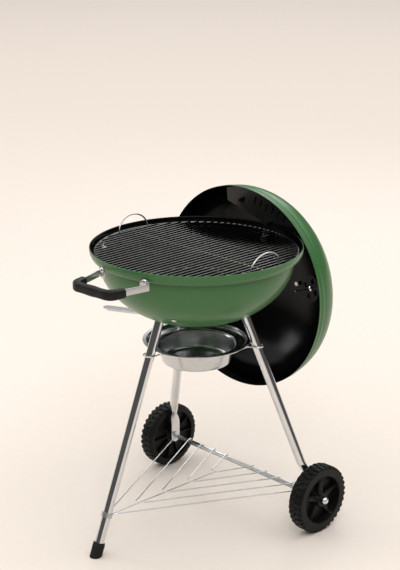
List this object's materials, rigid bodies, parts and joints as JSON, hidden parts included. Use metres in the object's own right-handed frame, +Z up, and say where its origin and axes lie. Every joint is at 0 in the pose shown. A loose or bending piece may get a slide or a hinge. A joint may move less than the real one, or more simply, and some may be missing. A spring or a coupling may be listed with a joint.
{
  "type": "kettle charcoal grill",
  "caption": "Charcoal kettle grill on a three-legged stand with wheels, bottom rack, ash pan and sweeper, its domed lid hanging behind the bowl.",
  "frame": {"origin": "on the floor, under the middle of the object's bounding box", "axes": "+Z up, -Y towards the front leg and the bowl's handle, +X along the axle, so the lid hangs on the +Y side"},
  "size_m": [0.7046, 0.8992, 0.8898],
  "materials": {
    "green_enamel": "gloss porcelain enamel",
    "black_enamel": "gloss porcelain enamel",
    "chrome": "bright plated steel",
    "steel": "satin zinc-plated steel",
    "grate_steel": "plated wire",
    "black_plastic": "fine moulded grain",
    "rubber": "matt"
  },
  "bodies": {
    "frame": {"bowl": "green_enamel", "bowl_handle_bolt_right": "steel", "bowl_handle_bolt_left": "steel", "bowl_handle_strap": "steel", "bowl_handle_grip": "black_plastic", "front_leg_stub": "steel", "right_leg_stub": "steel", "left_leg_stub": "steel", "front_leg": "chrome", "foot_cap": "rubber", "right_wheel_leg": "chrome", "left_wheel_leg": "chrome", "axle": "steel", "right_wheel_bush": "steel", "right_hub_nut": "chrome", "left_wheel_bush": "steel", "left_hub_nut": "chrome", "bottom_rack": "chrome", "rack_leg_clip": "steel", "ash_pan_wire_ring": "chrome", "cooking_grate_ledge_rear": "steel", "cooking_grate_ledge_right": "steel", "cooking_grate_ledge_left": "steel", "charcoal_grate_ledge_front": "steel", "charcoal_grate_ledge_right": "steel", "charcoal_grate_ledge_left": "steel", "charcoal_ledge_bolt_front": "steel", "charcoal_ledge_bolt_right": "steel", "charcoal_ledge_bolt_left": "steel"},
    "lid": {"lid": "green_enamel", "lid_hook_plate": "black_enamel", "lid_handle_strap": "steel", "lid_handle_grip": "black_plastic", "lid_handle_bolt_right": "steel", "lid_handle_bolt_left": "steel", "lid_handle_nut_right": "steel", "lid_handle_nut_left": "steel"},
    "vent": {"vent_damper": "steel", "thermometer_stem": "chrome", "thermometer_dial": "steel"},
    "cooking_grate": {"cooking_grate": "grate_steel", "grate_loop_right": "grate_steel", "grate_loop_left": "grate_steel"},
    "charcoal_grate": {"charcoal_grate": "grate_steel"},
    "sweeper": {"sweep_blades": "steel", "sweep_shaft": "steel", "sweep_spacer": "steel", "sweep_nut": "steel", "sweep_lever": "steel"},
    "ash_pan": {"ash_pan": "chrome"},
    "right_wheel": {"right_wheel": "black_plastic"},
    "left_wheel": {"left_wheel": "black_plastic"}
  },
  "joints": [
    {"name": "lid_lift", "type": "slide", "parent": "frame", "child": "lid", "axis": [0, 0, 1], "range_m": [0, 0.12]},
    {"name": "vent_turn", "type": "hinge", "parent": "lid", "child": "vent", "pos_m": [0.05646, 0.36831, 0.57938], "axis": [0.2157, 0.9757, -0.0386], "range_deg": [0, 45]},
    {"name": "cooking_grate_lift", "type": "slide", "parent": "frame", "child": "cooking_grate", "axis": [0, -0.342, 0.9397], "range_m": [0, 0.15]},
    {"name": "charcoal_grate_lift", "type": "slide", "parent": "frame", "child": "charcoal_grate", "axis": [0, 0, 1], "range_m": [0, 0.09]},
    {"name": "sweep_turn", "type": "hinge", "parent": "frame", "child": "sweeper", "pos_m": [0.01292, -0.04914, 0.577], "axis": [0, 0, 1], "range_deg": [-15, 40]},
    {"name": "ash_pan_lift", "type": "slide", "parent": "frame", "child": "ash_pan", "axis": [0, 0, 1], "range_m": [0, 0.012]},
    {"name": "right_wheel_spin", "type": "hinge", "parent": "frame", "child": "right_wheel", "pos_m": [0.3, 0.11825, 0.095], "axis": [1, 0, 0], "continuous": true},
    {"name": "left_wheel_spin", "type": "hinge", "parent": "frame", "child": "left_wheel", "pos_m": [-0.3, 0.11825, 0.095], "axis": [1, 0, 0], "continuous": true}
  ]
}
